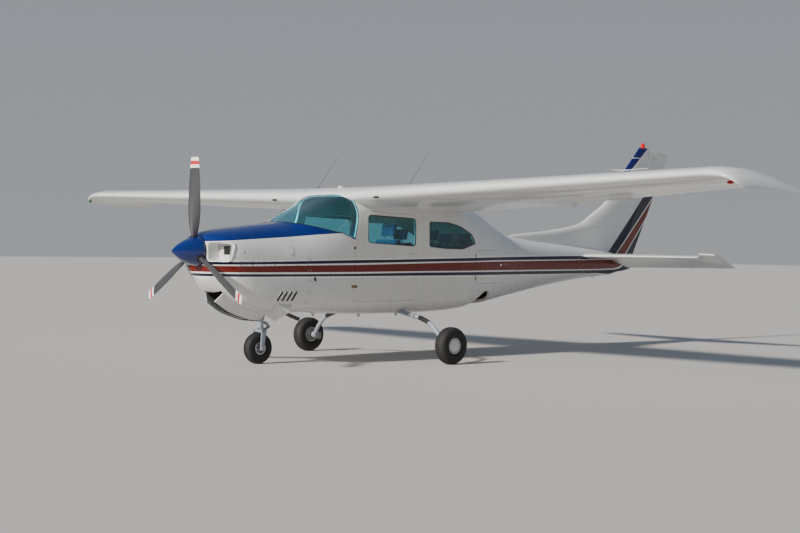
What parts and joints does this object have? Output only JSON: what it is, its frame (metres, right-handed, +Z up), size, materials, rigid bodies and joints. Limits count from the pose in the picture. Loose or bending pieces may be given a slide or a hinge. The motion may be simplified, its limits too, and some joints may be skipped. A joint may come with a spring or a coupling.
{
  "type": "light aircraft",
  "caption": "High-wing propeller aircraft on tricycle landing gear, with a hollow cabin, opening doors, moving control surfaces, a steered nose wheel and a turning propeller.",
  "frame": {"origin": "on the ground under the middle of the overall length, on the centreline", "axes": "+X forward to the spinner, +Y to port, +Z up"},
  "size_m": [8.585, 11.2, 2.8703],
  "materials": {
    "white_paint": "gloss paint on sheet",
    "blue_paint": "gloss paint on sheet",
    "blade_paint": "satin",
    "wheel_metal": "cast",
    "engine_metal": "rough",
    "firewall_steel": "brushed",
    "tinted_glass": "clear, blue-green",
    "carpet": "pile",
    "bulkhead_sheet": "painted",
    "seat_cloth": "woven",
    "panel_plastic": "textured",
    "leg_paint": "satin",
    "tyre_rubber": "matt",
    "red_lens": "clear red"
  },
  "bodies": {
    "airframe": {"cowl_upper": "blue_paint", "cowl_lower": "white_paint", "engine": "engine_metal", "firewall": "firewall_steel", "fuselage_side_left": "white_paint", "fuselage_side_right": "white_paint", "wheel_well_left": "white_paint", "wheel_well_right": "white_paint", "cabin_roof": "white_paint", "belly_panel": "white_paint", "tail_cone": "white_paint", "windshield": "tinted_glass", "rear_window_left": "tinted_glass", "rear_window_right": "tinted_glass", "cabin_floor": "carpet", "rear_bulkhead": "bulkhead_sheet", "instrument_panel": "panel_plastic", "seat_front_left": "seat_cloth", "seat_front_right": "seat_cloth", "seat_middle_left": "seat_cloth", "seat_middle_right": "seat_cloth", "seat_rear": "seat_cloth", "wing_left": "white_paint", "wing_right": "white_paint", "wingtip_left": "white_paint", "wingtip_right": "white_paint", "nose_gear_door_left": "white_paint", "nose_gear_door_right": "white_paint", "main_leg_left": "leg_paint", "main_leg_right": "leg_paint", "stabiliser": "white_paint", "fin": "white_paint", "beacon": "red_lens", "nose_leg": "leg_paint"},
    "propeller": {"spinner": "blue_paint", "blade_1": "blade_paint", "blade_2": "blade_paint", "blade_3": "blade_paint"},
    "nose_steering": {"nose_fork": "leg_paint"},
    "nose_wheel": {"nose_tyre": "tyre_rubber", "nose_rim": "wheel_metal"},
    "main_wheel_left": {"main_tyre_left": "tyre_rubber", "main_rim_left": "wheel_metal"},
    "main_wheel_right": {"main_tyre_right": "tyre_rubber", "main_rim_right": "wheel_metal"},
    "cabin_door_left": {"door_left": "white_paint", "door_glass_left": "tinted_glass"},
    "cabin_door_right": {"door_right": "white_paint", "door_glass_right": "tinted_glass"},
    "baggage_lid": {"baggage_door": "white_paint"},
    "aileron_port": {"aileron_left": "white_paint"},
    "aileron_starboard": {"aileron_right": "white_paint"},
    "flap_port": {"flap_left": "white_paint"},
    "flap_starboard": {"flap_right": "white_paint"},
    "elevator_surface": {"elevator": "white_paint"},
    "rudder_surface": {"rudder": "white_paint"},
    "cowl_flap_port": {"cowl_flap_left": "white_paint"},
    "cowl_flap_starboard": {"cowl_flap_right": "white_paint"}
  },
  "joints": [
    {"name": "propeller_spin", "type": "hinge", "parent": "airframe", "child": "propeller", "pos_m": [4.0025, 0, 1.255], "axis": [1, 0, 0], "continuous": true},
    {"name": "nose_steer", "type": "hinge", "parent": "airframe", "child": "nose_steering", "pos_m": [3.1325, 0, 0.176], "axis": [-0.1248, 0, 0.9922], "range_deg": [-35, 35]},
    {"name": "nose_wheel_spin", "type": "hinge", "parent": "nose_steering", "child": "nose_wheel", "pos_m": [3.1325, 0, 0.176], "axis": [0, 1, 0], "continuous": true},
    {"name": "main_wheel_left_spin", "type": "hinge", "parent": "airframe", "child": "main_wheel_left", "pos_m": [1.3675, 1.293, 0.2125], "axis": [0, 1, 0], "continuous": true},
    {"name": "main_wheel_right_spin", "type": "hinge", "parent": "airframe", "child": "main_wheel_right", "pos_m": [1.3675, -1.293, 0.2125], "axis": [0, 1, 0], "continuous": true},
    {"name": "door_left_swing", "type": "hinge", "parent": "airframe", "child": "cabin_door_left", "pos_m": [2.2225, 0.604, 1.1], "axis": [0, 0, -1], "range_deg": [0, 75]},
    {"name": "door_right_swing", "type": "hinge", "parent": "airframe", "child": "cabin_door_right", "pos_m": [2.2225, -0.604, 1.1], "axis": [0, 0, 1], "range_deg": [0, 75]},
    {"name": "baggage_door_swing", "type": "hinge", "parent": "airframe", "child": "baggage_lid", "pos_m": [0.2105, 0.531, 1.1], "axis": [0, 0, -1], "range_deg": [0, 90]},
    {"name": "aileron_left_turn", "type": "hinge", "parent": "airframe", "child": "aileron_port", "pos_m": [1.02203, 2.612, 1.88387], "axis": [-0.0782, -0.996, -0.0427], "range_deg": [-18, 18]},
    {"name": "aileron_right_turn", "type": "hinge", "parent": "airframe", "child": "aileron_starboard", "pos_m": [1.02203, -2.612, 1.88387], "axis": [0.0782, -0.996, 0.0427], "range_deg": [-18, 18]},
    {"name": "flap_left_swing", "type": "hinge", "parent": "airframe", "child": "flap_port", "pos_m": [0.93826, 0.64, 1.58668], "axis": [-0.0804, -0.9964, -0.0283], "range_deg": [0, 30]},
    {"name": "flap_right_swing", "type": "hinge", "parent": "airframe", "child": "flap_starboard", "pos_m": [0.93826, -0.64, 1.58668], "axis": [0.0804, -0.9964, 0.0283], "range_deg": [0, 30]},
    {"name": "elevator_turn", "type": "hinge", "parent": "airframe", "child": "elevator_surface", "pos_m": [-2.7975, 0, 1.24], "axis": [0, 1, 0], "range_deg": [0, 43]},
    {"name": "rudder_turn", "type": "hinge", "parent": "airframe", "child": "rudder_surface", "pos_m": [-3.1435, 0, 1.275], "axis": [-0.518, 0, 0.8554], "range_deg": [-24, 24]},
    {"name": "cowl_flap_left_swing", "type": "hinge", "parent": "airframe", "child": "cowl_flap_port", "pos_m": [3.24414, 0.19309, 0.59133], "axis": [0, 0.9234, 0.3838], "range_deg": [0, 34]},
    {"name": "cowl_flap_right_swing", "type": "hinge", "parent": "airframe", "child": "cowl_flap_starboard", "pos_m": [3.24414, -0.19309, 0.59133], "axis": [0, 0.9234, -0.3838], "range_deg": [0, 34]}
  ],
  "couplings": [
    {"joint": "aileron_right_turn", "follows": "aileron_left_turn", "ratio": -1},
    {"joint": "flap_right_swing", "follows": "flap_left_swing", "ratio": 1},
    {"joint": "cowl_flap_right_swing", "follows": "cowl_flap_left_swing", "ratio": 1}
  ]
}
